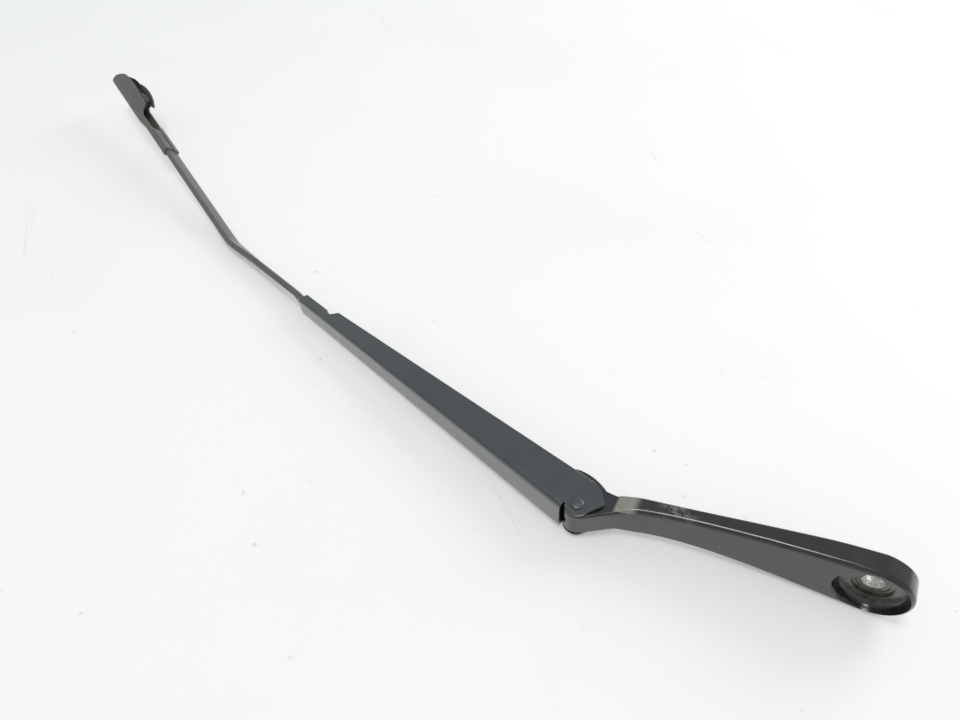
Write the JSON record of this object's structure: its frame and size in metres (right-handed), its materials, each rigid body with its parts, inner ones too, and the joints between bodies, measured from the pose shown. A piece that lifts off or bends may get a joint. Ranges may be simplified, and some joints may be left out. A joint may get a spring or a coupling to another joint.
{
  "type": "windscreen wiper arm",
  "caption": "Folding wiper arm with a hollow cast mounting head, a sprung pressed channel and a bent flat rod that ends in a blade holder.",
  "frame": {"origin": "centre of the spindle hole where its plain land begins, at the floor of the nut seat", "axes": "+Y along the spindle hole towards the glass, +Z along the hinge rivet, and the arm reaches towards -X"},
  "size_m": [0.6573, 0.2077, 0.0532],
  "materials": {
    "cast_paint": "satin black paint on a casting, worn to bare metal in the spindle hole",
    "sheet_paint": "satin black paint on pressed steel",
    "bare_steel": "drawn steel",
    "spring_steel": "dark spring steel",
    "bush_plastic": "matt",
    "adapter_plastic": "matt, slightly dusty"
  },
  "bodies": {
    "head": {"mounting_head": "cast_paint", "hinge_bush_upper": "bush_plastic", "hinge_bush_lower": "bush_plastic", "anchor_pin": "bare_steel"},
    "arm": {"arm_channel": "sheet_paint", "arm_rod": "sheet_paint", "hinge_rivet": "sheet_paint", "thrust_washer_upper": "bush_plastic", "thrust_washer_lower": "bush_plastic", "tension_spring": "spring_steel", "tip_carrier": "sheet_paint", "blade_adapter": "adapter_plastic"},
    "link": {"spring_link": "spring_steel"}
  },
  "joints": [
    {"name": "arm_fold", "type": "hinge", "parent": "head", "child": "arm", "pos_m": [-0.1235, -0.027, 0], "axis": [0, 0, 1], "range_deg": [0, 78], "deforming": ["tension_spring"]},
    {"name": "link_swing", "type": "hinge", "parent": "head", "child": "link", "pos_m": [-0.12515, -0.01662, 0], "axis": [0, 0, 1], "range_deg": [0, 80]}
  ],
  "couplings": [
    {"joint": "link_swing", "follows": "arm_fold", "ratio": 0.985}
  ]
}
